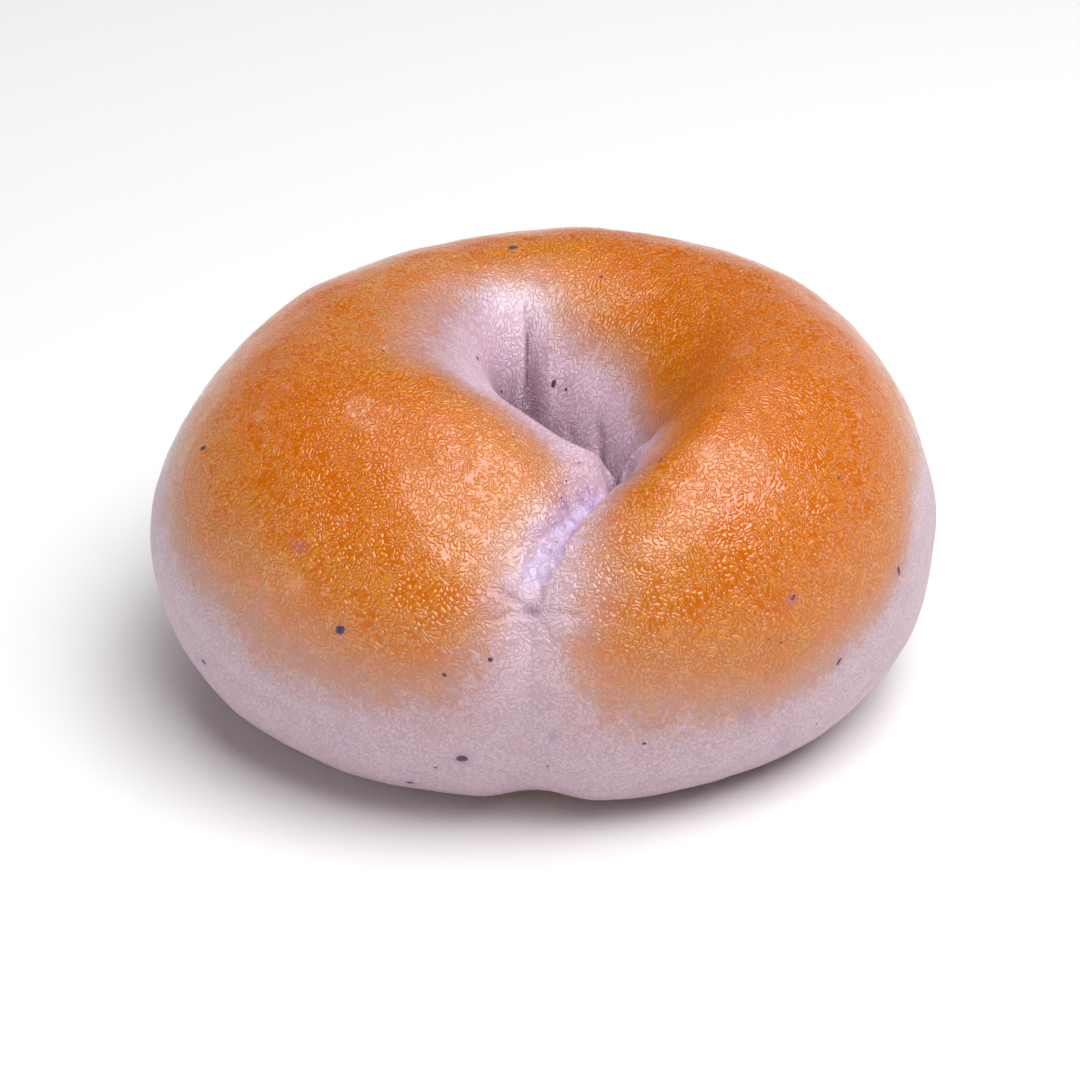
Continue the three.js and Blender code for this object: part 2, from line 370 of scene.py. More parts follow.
def form(turn, tube):
    """The plain form of the bagel, before any crease: points as an array of x, y, z."""
    turn, tube = np.broadcast_arrays(np.asarray(turn, float), np.asarray(tube, float))
    out_x, out_y = np.sin(np.radians(turn)), -np.cos(np.radians(turn))
    across = np.abs(np.cos(np.radians(tube)))
    up = np.abs(np.sin(np.radians(tube)))
    upper = tube >= 0
    outside = np.abs(tube) <= 90
    top = crest_height(turn, tube)

    reach = outline_radius(turn) - CREST_RADIUS
    spread = np.where(upper, soft_power(across, SHOULDER), across**UNDERSIDE_FULLNESS)
    radius = CREST_RADIUS + reach * spread
    rise = WIDEST_HEIGHT + (top - WIDEST_HEIGHT) * soft_power(up, SHOULDER)
    fall = WIDEST_HEIGHT - (WIDEST_HEIGHT + SINK) * up**UNDERSIDE_FALL
    outer = (HOLE[0] + radius * out_x, HOLE[1] + radius * out_y, np.where(upper, rise, fall))

    slit_x, slit_y = slit_point(turn)
    inward = CREST_RADIUS * (1 - across)
    turn_in = across**SLIT_TURN_IN
    bank = BANK_SHARE * (0.5 + 0.5 * np.cos(np.radians(turn - BANK_SIDE))) ** 3
    end_rise = SLIT_END_RISE * hump(between(turn, SLIT_TURN), SLIT_END_REACH)
    bottom = SLIT_HEIGHT + BANK_RISE * bank + end_rise
    wall = bottom + (top - bottom) * ((1 - bank) * up + bank * up * up)
    below = NAVEL_HEIGHT - (NAVEL_HEIGHT + SINK) * up
    inner = (
        HOLE[0] + inward * out_x + (slit_x - HOLE[0]) * turn_in,
        HOLE[1] + inward * out_y + (slit_y - HOLE[1]) * turn_in,
        np.where(upper, wall, below),
    )
    return np.stack([np.where(outside, a, b) for a, b in zip(outer, inner)], -1)


def groove_depth(turn, tube):
    """Depth of the groove along the joint, below the dip."""
    side = between(turn, joint_turn(tube))
    width = GROOVE_WIDTH + GROOVE_WIDER_ABOVE * ease(60, 130, tube)
    width = width + GROOVE_WIDER_BELOW * (1 - ease(-50, 0, tube))
    depth = GROOVE_DEPTH + GROOVE_DEEPER_ABOVE * ease(30, 95, tube)
    depth = depth + GROOVE_DEEPER_BELOW * (1 - ease(-60, -20, tube))
    ends = ease(-85, -70, tube) * (1 - ease(120, 160, tube))
    return depth * ends * hump(side, np.where(side < 0, LEFT_BANK * width, width))


def pinch_gap(points):
    """How far each point stands to the right of the pinched corner's line."""
    along = (points[..., 1] - PINCH_FROM[1]) / (PINCH_TO[1] - PINCH_FROM[1])
    return points[..., 0] - PINCH_FROM[0] - along * (PINCH_TO[0] - PINCH_FROM[0])


def pinch_in(turn, tube, points):
    """How far the two lobes move in over the corner."""
    gap = pinch_gap(points) / PINCH_REACH
    most = np.where(gap < 0, PINCH_LEFT, PINCH_RIGHT)
    place = ease(*PINCH_START, tube) * (1 - ease(*PINCH_END, tube))
    place = place * hump(between(turn, PINCH_TURN), PINCH_TURN_REACH)
    return -most * place * gap * np.exp(0.5 - 0.5 * gap * gap)


def creased(turn, tube):
    """The form with its joint, swellings and cleft."""
    points = form(turn, tube)
    turn, tube = np.broadcast_arrays(np.asarray(turn, float), np.asarray(tube, float))
    rope = np.stack(
        [
            HOLE[0] + CREST_RADIUS * np.sin(np.radians(turn)),
            HOLE[1] - CREST_RADIUS * np.cos(np.radians(turn)),
            np.full(turn.shape, WIDEST_HEIGHT),
        ],
        -1,
    )
    swell = -groove_depth(turn, tube)
    for at_turn, at_tube, turn_reach, tube_reach, height in SWELLINGS:
        swell = swell + height * hump(between(turn, at_turn), turn_reach) * hump(tube - at_tube, tube_reach)
    away = points - rope
    away /= np.linalg.norm(away, axis=-1, keepdims=True)
    points = points + away * swell[..., None]
    back_wall = ease(*CLEFT_SPAN, tube) * ease(*BACK_WALL, points[..., 1])
    across = points[..., 0] - CLEFT_PLACE
    depth = CLEFT_DEPTH * hump(across, np.where(across < 0, CLEFT_LEFT, CLEFT_RIGHT))
    for place, width, fold in BACK_FOLDS:
        depth = depth + fold * MM * hump(points[..., 0] / MM - place, width)
    points[..., 1] += back_wall * depth
    points[..., 0] += pinch_in(turn, tube, points)
    return points


def facing(turn, tube):
    """Outward normals of the creased form."""
    step = 0.2
    along = creased(turn + step, tube) - creased(turn - step, tube)
    round_rope = creased(turn, tube + step) - creased(turn, tube - step)
    normals = np.cross(along, round_rope)
    return normals / (np.linalg.norm(normals, axis=-1, keepdims=True) + 1e-12)


def lumps(points, size, seed):
    """Smooth noise between -1 and 1, with lumps of the given size."""
    flat = points.reshape(-1, 3) / size + seed
    values = [noise.noise(Vector(p)) for p in flat]
    return np.array(values).reshape(points.shape[:-1])


def gap_to(points, turn, tube):
    """How far each point is from a place on the crust, in mm."""
    return np.linalg.norm(points - creased(turn, tube), axis=-1) / MM


def gap_to_line(points, stops):
    """How far each point is in mm from a line drawn over the crust, and the share along that line."""
    marks = np.arange(len(stops))
    fine = np.linspace(0, len(stops) - 1, 4 * (len(stops) - 1) + 1)
    turns = np.unwrap([stop[0] for stop in stops], period=360)
    line = creased(np.interp(fine, marks, turns), np.interp(fine, marks, [stop[1] for stop in stops]))
    nearest = np.full(points.shape[:-1], 1e9)
    share = np.zeros(points.shape[:-1])
    for i, (start, end) in enumerate(zip(line, line[1:])):
        step = end - start
        t = np.clip((points - start) @ step / (step @ step), 0, 1)
        gap = np.linalg.norm(points - start - t[..., None] * step, axis=-1)
        closer = gap < nearest
        nearest = np.where(closer, gap, nearest)
        share = np.where(closer, (i + t) / (len(line) - 1), share)
    return nearest / MM, share


def strip_side(turn, tube, points):
    """Distance from the middle of the bare strip in mm: left of it is negative."""
    radius = np.hypot(points[..., 0] - HOLE[0], points[..., 1] - HOLE[1]) / MM
    return np.radians(between(turn, joint_turn(tube))) * radius


def strip_mask(turn, tube, points):
    """1 on the bare strip along the joint, 0 off it."""
    width = np.interp(tube, [stop[0] for stop in STRIP], [stop[1] for stop in STRIP])
    width = width * (1 + 0.7 * lumps(points, 1.5 * MM, 4.4))
    side = strip_side(turn, tube, points)
    right = 1 - ease(width / 2 - 0.12, width / 2 + 0.22, side)
    left = 1 - ease(width / 2 - 0.3, width / 2 + 0.35, -side)
    ends = ease(41, 49, tube) * (1 - ease(84, 93, tube))
    return right * left * ends


def strip_relief(turn, tube, points):
    """The bare strip: sunk, with the right lobe standing over it, bubbles and pits."""
    height = -STRIP_DEPTH * strip_mask(turn, tube, points)
    side = strip_side(turn, tube, points)
    ends = ease(46, 60, tube) * (1 - ease(84, 98, tube))
    height += 0.25 * ends * hump(side - 2.0, 0.8) - 0.12 * ends * hump(side + 1.5, 0.5)
    height += 0.16 * strip_mask(turn, tube, points) * lumps(points, 1.1 * MM, 7.7)
    for at_turn, at_tube, size in STRIP_BUBBLES:
        gap = gap_to(points, at_turn, at_tube)
        height += 0.3 * hump(gap - 0.4 * size, 0.13 * size) + 0.1 * hump(gap, 0.4 * size)
    for at_turn, at_tube, size in STRIP_PITS:
        gap = gap_to(points, at_turn, at_tube)
        height += 0.1 * hump(gap - 0.55 * size, 0.22 * size) - 0.4 * hump(gap, 0.35 * size)
    return height


def relief(turn, tube, points):
    """Fine height of the crust above the creased form, in mm."""
    walls = 1 - ease(150, 174, tube)
    base = ease(-88, -60, tube)
    height = strip_relief(turn, tube, points)
    for size, swell, seed in UNEVENNESS:
        height += swell * lumps(points, size, seed)
    height -= PUCKER_DEPTH * hump(gap_to(points, *PUCKER), PUCKER_WIDTH)
    for stops, width, depth in CREASES:
        gap, share = gap_to_line(points, stops)
        ends = ease(0, 0.15, share) * (1 - ease(0.8, 1, share))
        height -= depth * (0.35 + 0.65 * ends) * hump(gap, width)
    for at_turn, at_tube, size in BLISTERS:
        gap = gap_to(points, at_turn, at_tube)
        height += BLISTER_RIM * hump(gap - 0.45 * size, 0.14 * size + 0.1)
    return height * walls * base


def skin(turn, tube):
    """Points of the finished crust and their normals."""
    turn, tube = np.broadcast_arrays(np.asarray(turn, float), np.asarray(tube, float))
    points = creased(turn, tube)
    normals = facing(turn, tube)
    points = points + normals * relief(turn, tube, points)[..., None] * MM
    points[..., 2] = np.maximum(points[..., 2], 0)
    return points, normals


def recentring():
    """The move that brings the form onto the place of the bagel in the frame."""
    turn, tube = np.meshgrid(np.arange(-180, 180, 3), np.arange(-180, 181, 3))
    points = creased(turn, tube).reshape(-1, 3)
    low, high = points.min(0), points.max(0)
    shift = (np.array(LOW) + np.array(HIGH)) / 2 - (low + high) / 2
    shift[2] = 0
    return shift


SHIFT = recentring()


def ring_turns():
    """Turns of the columns, closest together at the joint and the cleft."""
    fine = np.linspace(-180, 180, 3601)
    density = 1 + 2.0 * hump(fine - 2, 24) + 0.9 * hump(between(fine, 185), 20)
    share = np.concatenate([[0], np.cumsum((density[1:] + density[:-1]) / 2)])
    share /= share[-1]
    return np.interp(np.arange(COLUMNS) / COLUMNS, share, fine)


def tube_angles():
    """Tube angles of the rows, evenly spaced over the crust and wider apart below."""
    fine = np.linspace(-180, 180, 1441)
    spacing = 0
    for turn in (-120, -60, 60, 120):
        profile = creased(turn, fine)
        spacing = spacing + np.linalg.norm(np.diff(profile, axis=0), axis=1)
    middle = (fine[1:] + fine[:-1]) / 2
    weight = 0.22 + 0.45 * ease(-95, -70, middle) + 0.33 * ease(-40, 10, middle)
    share = np.concatenate([[0], np.cumsum(spacing * weight)])
    share /= share[-1]
    return np.interp(np.arange(ROWS) / (ROWS - 1), share, fine)


def new_mesh(name, points, faces):
    """A smooth-shaded mesh, put into the scene."""
    mesh = bpy.data.meshes.new(name)
    mesh.from_pydata([tuple(p) for p in points], [], faces)
    mesh.polygons.foreach_set("use_smooth", [True] * len(mesh.polygons))
    thing = bpy.data.objects.new(name, mesh)
    bpy.context.collection.objects.link(thing)
    return thing


def grid_faces(rows, columns):
    """Quads between the rows of a closed ring of columns, then a fan over each end."""
    faces = []
    for i in range(rows - 1):
        low, high = i * columns, (i + 1) * columns
        for j in range(columns):
            k = (j + 1) % columns
            faces.append((low + j, low + k, high + k, high + j))
    first, last = rows * columns, (rows - 1) * columns
    for j in range(columns):
        k = (j + 1) % columns
        faces.append((k, j, first))
        faces.append((last + j, last + k, first + 1))
    return faces


def unwrap(thing, rows, columns):
    """A map with the ring along it and the rope up it, as even as the grid."""
    layer = thing.data.uv_layers.new(name="OFBake")
    ends = rows * columns
    spots = []
    for face in thing.data.polygons:
        corners = list(face.vertices)
        across = [corner % columns for corner in corners if corner < ends]
        if max(across) - min(across) > 1:
            across = [column or columns for column in across]
        middle = sum(across) / len(across)
        order = iter(across)
        for corner in corners:
            if corner >= ends:
                spots += [middle / columns, float(corner > ends)]
            else:
                spots += [next(order) / columns, 0.01 + 0.98 * (corner // columns) / (rows - 1)]
    layer.data.foreach_set("uv", spots)


def paint(thing, name, values, ends):
    """A mask over the vertices for the material to read; the ends are the navel and the slit."""
    layer = thing.data.attributes.new(name, "FLOAT", "POINT")
    layer.data.foreach_set("value", np.append(values.ravel(), ends).astype(np.float32))


def paint_grain(thing, tube, points, rim):
    """Where the wrinkles are read from: drawn out from the rim down the walls of the dimple."""
    drawn = rim + (1 - 0.2 * ease(RIM_TUBE, 132, tube))[..., None] * (points - rim)
    drawn = np.where((tube > RIM_TUBE)[..., None], drawn, points)
    layer = thing.data.attributes.new("grain", "FLOAT_VECTOR", "POINT")
    ends = np.stack([drawn[0].mean(0), drawn[-1].mean(0)])
    layer.data.foreach_set("vector", np.concatenate([drawn.reshape(-1, 3), ends]).astype(np.float32).ravel())


def stops_at(value, stops):
    """A value given at stops, read between them."""
    return np.interp(value, [stop[0] for stop in stops], [stop[1] for stop in stops])


def around(turn, stops):
    """A value given at stops round the ring, read between them."""
    return stops_at(between(turn, 0), stops)


def browning(turn, tube, points):
    """How far the oven has browned the crust: 0 is pale dough, 1 is deep golden."""
    side = between(turn, joint_turn(tube))
    patchy = 4 * lumps(points, 13 * MM, 5.3) + 1.5 * lumps(points, 5 * MM, 2.9)
    below = ease(around(turn, BROWN_FROM), around(turn, BROWN_FULL), tube + patchy)
    inside = 1 - ease(around(turn, BROWN_TO), around(turn, BROWN_END), tube + 0.3 * patchy)
    reach = np.where(side < 0, stops_at(tube, JOINT_PALE_LEFT), stops_at(tube, JOINT_PALE_RIGHT))
    seam = 1 - 0.97 * hump(side, reach + 0.2 * patchy) * ease(-60, -30, tube)
    return below * inside * seam


def patches(points, spots):
    """A mask of soft round patches: turn, tube, size, strength."""
    mask = 0
    for turn, tube, size, strength in spots:
        mask = np.maximum(mask, strength * hump(gap_to(points, turn, tube), 0.55 * size))
    return mask


def bubble_rims(points):
    """A mask of the pale rims of the bubbles in the strip."""
    mask = 0
    for turn, tube, size in STRIP_BUBBLES:
        mask = np.maximum(mask, hump(gap_to(points, turn, tube) - 0.42 * size, 0.1 * size + 0.06))
    return mask


def rings(points, spots):
    """A mask of rings and their pale middles: turn, tube, size."""
    mask = 0
    for turn, tube, size in spots:
        gap = gap_to(points, turn, tube)
        mask = np.maximum(mask, hump(gap - 0.45 * size, 0.12 * size) * 0.55)
        mask = np.maximum(mask, 0.25 * hump(gap, 0.3 * size))
    return mask


def lilac_places(turn, tube, points):
    """Where the pale dough is lilac: in the dimple, along the joint and on the bare strip."""
    side = between(turn, joint_turn(tube))
    dimple = ease(around(turn, BROWN_END) - 16, around(turn, BROWN_END) + 10, tube)
    seam_width = np.where(side < 0, 11, 4 + 8 * ease(80, 104, tube))
    seam = hump(side, seam_width) * ease(40, 58, tube)
    return np.maximum.reduce([dimple, 0.7 * seam, strip_mask(turn, tube, points)])


def shine(turn, tube, points):
    """How smooth the crust is: glossy over the crest, dull on the sides and on the foot of the joint."""
    side = between(turn, joint_turn(tube))
    dull_seam = 0.97 * hump(side, 13) * (1 - ease(48, 60, tube))
    crest = ease(5, 45, tube) * (1 - ease(100, 135, tube)) * (1 - dull_seam)
    return np.maximum(crest, 0.9 * browning(turn, tube, points))


def painted_shade_places(turn, tube, points):
    """Painted shade where folds and holes lie in shadow: the slit, the cleft, the pinched corner, the pucker
    and the pits.
    """
    slit = 0.72 * ease(131, 160, tube)
    on_back_wall = ease(122, 136, tube) * ease(1, 6, points[..., 1] / MM)
    cleft = hump((points[..., 0] - CLEFT_PLACE) / MM - 0.08, 0.17) * on_back_wall
    by_corner = ease(96, 104, tube) * (1 - ease(135, 150, tube))
    by_corner = by_corner * (1 - ease(15, 30, np.abs(turn - PINCH_TURN)))
    corner = 0.9 * hump(pinch_gap(points) / MM, 0.5) * by_corner
    pucker = 0.35 * hump(gap_to(points, *PUCKER), 0.4)
    pits = patches(points, [(at_turn, at_tube, size, 0.5) for at_turn, at_tube, size in STRIP_PITS])
    return np.maximum.reduce([slit, cleft, corner, pucker, pits])


def crust():
    """The whole loaf in one closed skin."""
    turn, tube = np.meshgrid(ring_turns(), tube_angles())
    points = skin(turn, tube)[0]
    navel, slit = points[0].mean(0), points[-1].mean(0)
    verts = np.concatenate([points.reshape(-1, 3), [navel, slit]]) + SHIFT
    thing = new_mesh("baked_crust", verts, grid_faces(ROWS, COLUMNS))
    unwrap(thing, ROWS, COLUMNS)

    strip = strip_mask(turn, tube, points)
    paint(thing, "browning", browning(turn, tube, points) * (1 - strip), [0, 0])
    paint(thing, "lilac", lilac_places(turn, tube, points), [0, 1])
    paint(thing, "strip", strip, [0, 0])
    paint(thing, "rim", bubble_rims(points), [0, 0])
    paint(thing, "sheen", shine(turn, tube, points), [0, 0])
    paint(thing, "pale", np.maximum(patches(points, PALE_PATCHES), rings(points, BLISTERS)), [0, 0])
    # Juice stains, and painted shadow beside the strip
    paint(thing, "stain_and_shadow", patches(points, STAINS_AND_SHADOW), [0, 0])
    paint(thing, "under", 1 - ease(-84, -62, tube), [1, 0])
    # Painted shade in the slit, cleft, pinched corner, pucker and pits
    paint(thing, "painted_shade", painted_shade_places(turn, tube, points), [0, 1])
    paint_grain(thing, tube, points, creased(turn, np.minimum(tube, RIM_TUBE)))
    return thing


def fleck_outline(length, width, lean, seed):
    """Rings of a low uneven dome from its middle outwards: along, across and height share."""
    spots = [(0.0, 0.0, 1.0)]
    lean_cos, lean_sin = math.cos(math.radians(lean)), math.sin(math.radians(lean))
    for share in FLECK_RINGS:
        for k in range(FLECK_SIDES):
            a = 2 * math.pi * k / FLECK_SIDES
            wobble = 1 + 0.22 * noise.noise(Vector((math.cos(a) * 1.3, math.sin(a) * 1.3, seed)))
            u = share * wobble * length / 2 * math.cos(a)
            v = share * wobble * width / 2 * math.sin(a)
            spots.append((u * lean_cos - v * lean_sin, u * lean_sin + v * lean_cos, 1 - share * share))
    return spots


def fleck_faces(first):
    """The faces of one fleck, whose points start at first."""
    faces = []
    for k in range(FLECK_SIDES):
        j = (k + 1) % FLECK_SIDES
        faces.append((first, first + 1 + k, first + 1 + j))
        for ring in range(len(FLECK_RINGS) - 1):
            low = first + 1 + ring * FLECK_SIDES
            high = low + FLECK_SIDES
            faces.append((low + k, high + k, high + j, low + j))
    return faces


def berry_flecks(loaf):
    """Bits of berry that stand a little out of the crust, all in one mesh."""
    corners = [v.co for v in loaf.data.vertices]
    tree = BVHTree.FromPolygons(corners, [tuple(f.vertices) for f in loaf.data.polygons])
    verts, faces = [], []
    for number, (turn, tube, length, width, lean) in enumerate(BERRIES):
        points, normals = skin(np.array([turn]), np.array([tube]))
        middle, up = Vector(points[0] + SHIFT), Vector(normals[0])
        along = Vector(creased(turn + 0.5, tube) - creased(turn - 0.5, tube)).normalized()
        across = up.cross(along).normalized()
        along = across.cross(up)
        faces += fleck_faces(len(verts))
        thick = 0.09 * MM + 0.08 * MM * min(length, width)
        for u, v, dome in fleck_outline(length * MM, width * MM, lean, number * 1.7):
            start = middle + along * u + across * v + up * 2 * MM
            hit = tree.ray_cast(start, -up, 5 * MM)[0] or middle
            verts.append(hit + up * (thick * dome - 0.02 * MM))
    return new_mesh("berry_flecks", verts, faces)


# Materials


def node(tree, kind, settings=None, **inputs):
    """Adds a node. Each input is a value, or the output that feeds it."""
    made = tree.nodes.new(kind)
    for name, value in (settings or {}).items():
        setattr(made, name, value)
    for name, value in inputs.items():
        feed(tree, made.inputs[name.replace("_", " ")], value)
    return made


def feed(tree, socket, value):
    """Links an output to a socket, or sets the socket to a value."""
    if isinstance(value, bpy.types.NodeSocket):
        tree.links.new(value, socket)
    else:
        socket.default_value = value


def calc(tree, operation, first, second=0.0):
    """One step of arithmetic on numbers or outputs."""
    made = node(tree, "ShaderNodeMath", {"operation": operation})
    feed(tree, made.inputs[0], first)
    feed(tree, made.inputs[1], second)
    return made.outputs[0]


def eased(tree, value, low, high, start=0.0, end=1.0):
    """Value brought from low..high to start..end, eased at both ends."""
    made = node(
        tree,
        "ShaderNodeMapRange",
        {"interpolation_type": "SMOOTHSTEP"},
        Value=value,
        From_Min=low,
        From_Max=high,
        To_Min=start,
        To_Max=end,
    )
    return made.outputs["Result"]


def blend(tree, share, first, second, way="MIX"):
    """A colour between two others."""
    made = node(tree, "ShaderNodeMix", {"data_type": "RGBA", "blend_type": way})
    feed(tree, made.inputs["Factor"], share)
    feed(tree, made.inputs["A"], first)
    feed(tree, made.inputs["B"], second)
    return made.outputs["Result"]


def noisy(tree, where, per_metre, detail=0.0, rough=0.5):
    """Smooth noise about 0.5."""
    settings = {"Scale": per_metre, "Detail": detail, "Roughness": rough}
    return node(tree, "ShaderNodeTexNoise", None, Vector=where, **settings)


def mask(tree, name):
    """A mask that was painted over the vertices."""
    return node(tree, "ShaderNodeAttribute", {"attribute_name": name}).outputs["Fac"]


def shade(red, green, blue):
    """A colour given as it looks on a screen, 0 to 255."""
    parts = [c / 255 for c in (red, green, blue)]
    return tuple(c / 12.92 if c <= 0.04045 else ((c + 0.055) / 1.055) ** 2.4 for c in parts) + (1.0,)


def new_group(name, inputs, outputs):
    """A group of nodes with named inputs and outputs: (name, kind) each."""
    group = bpy.data.node_groups.new(name, "ShaderNodeTree")
    for label, kind in inputs:
        group.interface.new_socket(label, in_out="INPUT", socket_type=kind)
    for label, kind in outputs:
        group.interface.new_socket(label, in_out="OUTPUT", socket_type=kind)
    start = group.nodes.new("NodeGroupInput")
    end = group.nodes.new("NodeGroupOutput")
    return group, start.outputs, end.inputs


NUMBER, COLOUR, VECTOR = "NodeSocketFloat", "NodeSocketColor", "NodeSocketVector"


# Wrinkles: how many to a metre, and how high each part of them stands, in metres
WRINKLES_TO_METRE = 1900
SMALL_WRINKLES_TO_METRE = 2500
COBBLES_TO_METRE = 1000
SWAY_TO_METRE = 520
SWAY_REACH = 0.0008
FURROW_HEIGHT = 0.00009
DOME_HEIGHT = 0.00001
PLATE_HEIGHT = 0.00007
LUMP_HEIGHT = 0.00003
FINE_HEIGHT = 0.000003


def furrows(group, where, grain, cobbles):
    """Thin broken furrows, with how far each place is from the nearest of the main ones."""
    main, small = noisy(group, where, WRINKLES_TO_METRE), noisy(group, where, SMALL_WRINKLES_TO_METRE)
    first = calc(group, "ABSOLUTE", calc(group, "SUBTRACT", main.outputs[0], 0.5))
    second = calc(group, "ABSOLUTE", calc(group, "SUBTRACT", small.outputs[0], 0.47))
    breaks = noisy(group, grain, 300).outputs[0]
    width = eased(group, breaks, 0.3, 0.7, 0.16, 0.34)
    first_furrow = calc(group, "SUBTRACT", 1.0, eased(group, calc(group, "DIVIDE", first, width), 0.1, 1.0))
    second_width = eased(group, breaks, 0.3, 0.7, 0.16, 0.04)
    second_share = calc(group, "DIVIDE", second, second_width)
    second_furrow = calc(group, "SUBTRACT", 1.0, eased(group, second_share, 0.1, 1.0))
    furrow = calc(group, "MAXIMUM", first_furrow, calc(group, "MULTIPLY", second_furrow, 0.4))

    cells = node(group, "ShaderNodeTexVoronoi", {"feature": "SMOOTH_F1"}, Vector=where, Smoothness=0.35)
    feed(group, cells.inputs["Scale"], COBBLES_TO_METRE)
    cobble = eased(group, cells.outputs["Distance"], 0.25, 0.75)
    cobble = calc(group, "MULTIPLY", cobble, calc(group, "MULTIPLY", cobbles, 0.4))
    furrow = calc(group, "MAXIMUM", furrow, cobble)
    return furrow, first


def wrinkles_group():
    """Leathery crust: smooth plates parted by thin broken furrows. Height is in metres."""
    group, given, out = new_group(
        "crust_wrinkles",
        [("Grain", VECTOR), ("Strength", NUMBER), ("Cobbles", NUMBER)],
        [("Furrow", NUMBER), ("Height", NUMBER)],
    )
    sway = node(group, "ShaderNodeVectorMath", {"operation": "SUBTRACT"})
    feed(group, sway.inputs[0], noisy(group, given["Grain"], SWAY_TO_METRE).outputs["Color"])
    feed(group, sway.inputs[1], (0.5, 0.5, 0.5))
    grow = node(group, "ShaderNodeVectorMath", {"operation": "SCALE"}, Scale=SWAY_REACH)
    feed(group, grow.inputs[0], sway.outputs[0])
    moved = node(group, "ShaderNodeVectorMath", {"operation": "ADD"})
    feed(group, moved.inputs[0], given["Grain"])
    feed(group, moved.inputs[1], grow.outputs[0])
    where = moved.outputs[0]

    furrow, first = furrows(group, where, given["Grain"], given["Cobbles"])
    fine = noisy(group, given["Grain"], 3200, 2.0).outputs[0]
    dome = eased(group, first, 0.0, 0.12)
    plate = noisy(group, where, 420).outputs[0]
    lump = noisy(group, where, 900).outputs[0]

    height = calc(group, "MULTIPLY", calc(group, "SUBTRACT", 1.0, furrow), FURROW_HEIGHT)
    parts = ((dome, DOME_HEIGHT), (plate, PLATE_HEIGHT), (lump, LUMP_HEIGHT), (fine, FINE_HEIGHT))
    for part, stands in parts:
        height = calc(group, "ADD", height, calc(group, "MULTIPLY", part, stands))
    height = calc(group, "MULTIPLY", height, given["Strength"])
    feed(group, out["Furrow"], calc(group, "POWER", furrow, 2.2))
    feed(group, out["Height"], height)
    return group


# Colours of the crust, from bare dough to the deepest gold, and of what marks it; some of them paint shade,
# as noted below
PALE_DOUGH = shade(205, 178, 190)
LILAC_DOUGH = shade(232, 203, 223)
WET_STRIP = shade(195, 169, 203)
STRIP_RIM = shade(222, 206, 230)
PINK_CRUST = shade(198, 142, 116)
TAN_CRUST = shade(202, 130, 68)
GOLDEN_CRUST = shade(208, 126, 16)
DEEP_CRUST = shade(209, 114, 0)
# Furrow colours: partly the browner crust in the furrows, partly painted shade in them
FURROW_BROWN_AND_SHADE = shade(190, 88, 2)
FURROW_PALE_AND_SHADE = shade(160, 118, 132)
# Berry juice colour, also used as painted shadow beside the strip
BERRY_JUICE_AND_SHADOW = shade(140, 95, 150)
BLISTER_PALE = shade(226, 184, 156)
UNDERSIDE_TAN = shade(200, 150, 105)
# Painted shade colour for the slit, cleft, pinched corner, pucker and pits
PAINTED_SHADE_COLOUR = shade(84, 46, 60)
PALE_SHARE, STAIN_AND_SHADOW_SHARE, PAINTED_SHADE_SHARE = 0.4, 0.6, 0.95


def bubbles_group():
    """Wet bare dough: small bubbles with pale rims. Height is in metres."""
    results = [("Rim", NUMBER), ("Height", NUMBER)]
    group, given, out = new_group("dough_bubbles", [("Grain", VECTOR)], results)
    sway = node(group, "ShaderNodeVectorMath", {"operation": "SCALE"}, Scale=0.0012)
    feed(group, sway.inputs[0], noisy(group, given["Grain"], 700).outputs["Color"])
    moved = node(group, "ShaderNodeVectorMath", {"operation": "ADD"})
    feed(group, moved.inputs[0], given["Grain"])
    feed(group, moved.inputs[1], sway.outputs[0])
    cells = node(group, "ShaderNodeTexVoronoi", {"feature": "F1"}, Vector=moved.outputs[0], Scale=1000)
    off = calc(group, "ABSOLUTE", calc(group, "SUBTRACT", cells.outputs["Distance"], 0.42))
    rim = calc(group, "SUBTRACT", 1.0, eased(group, off, 0.0, 0.11))
    feed(group, out["Rim"], rim)
    feed(group, out["Height"], calc(group, "MULTIPLY", rim, 0.00007))
    return group


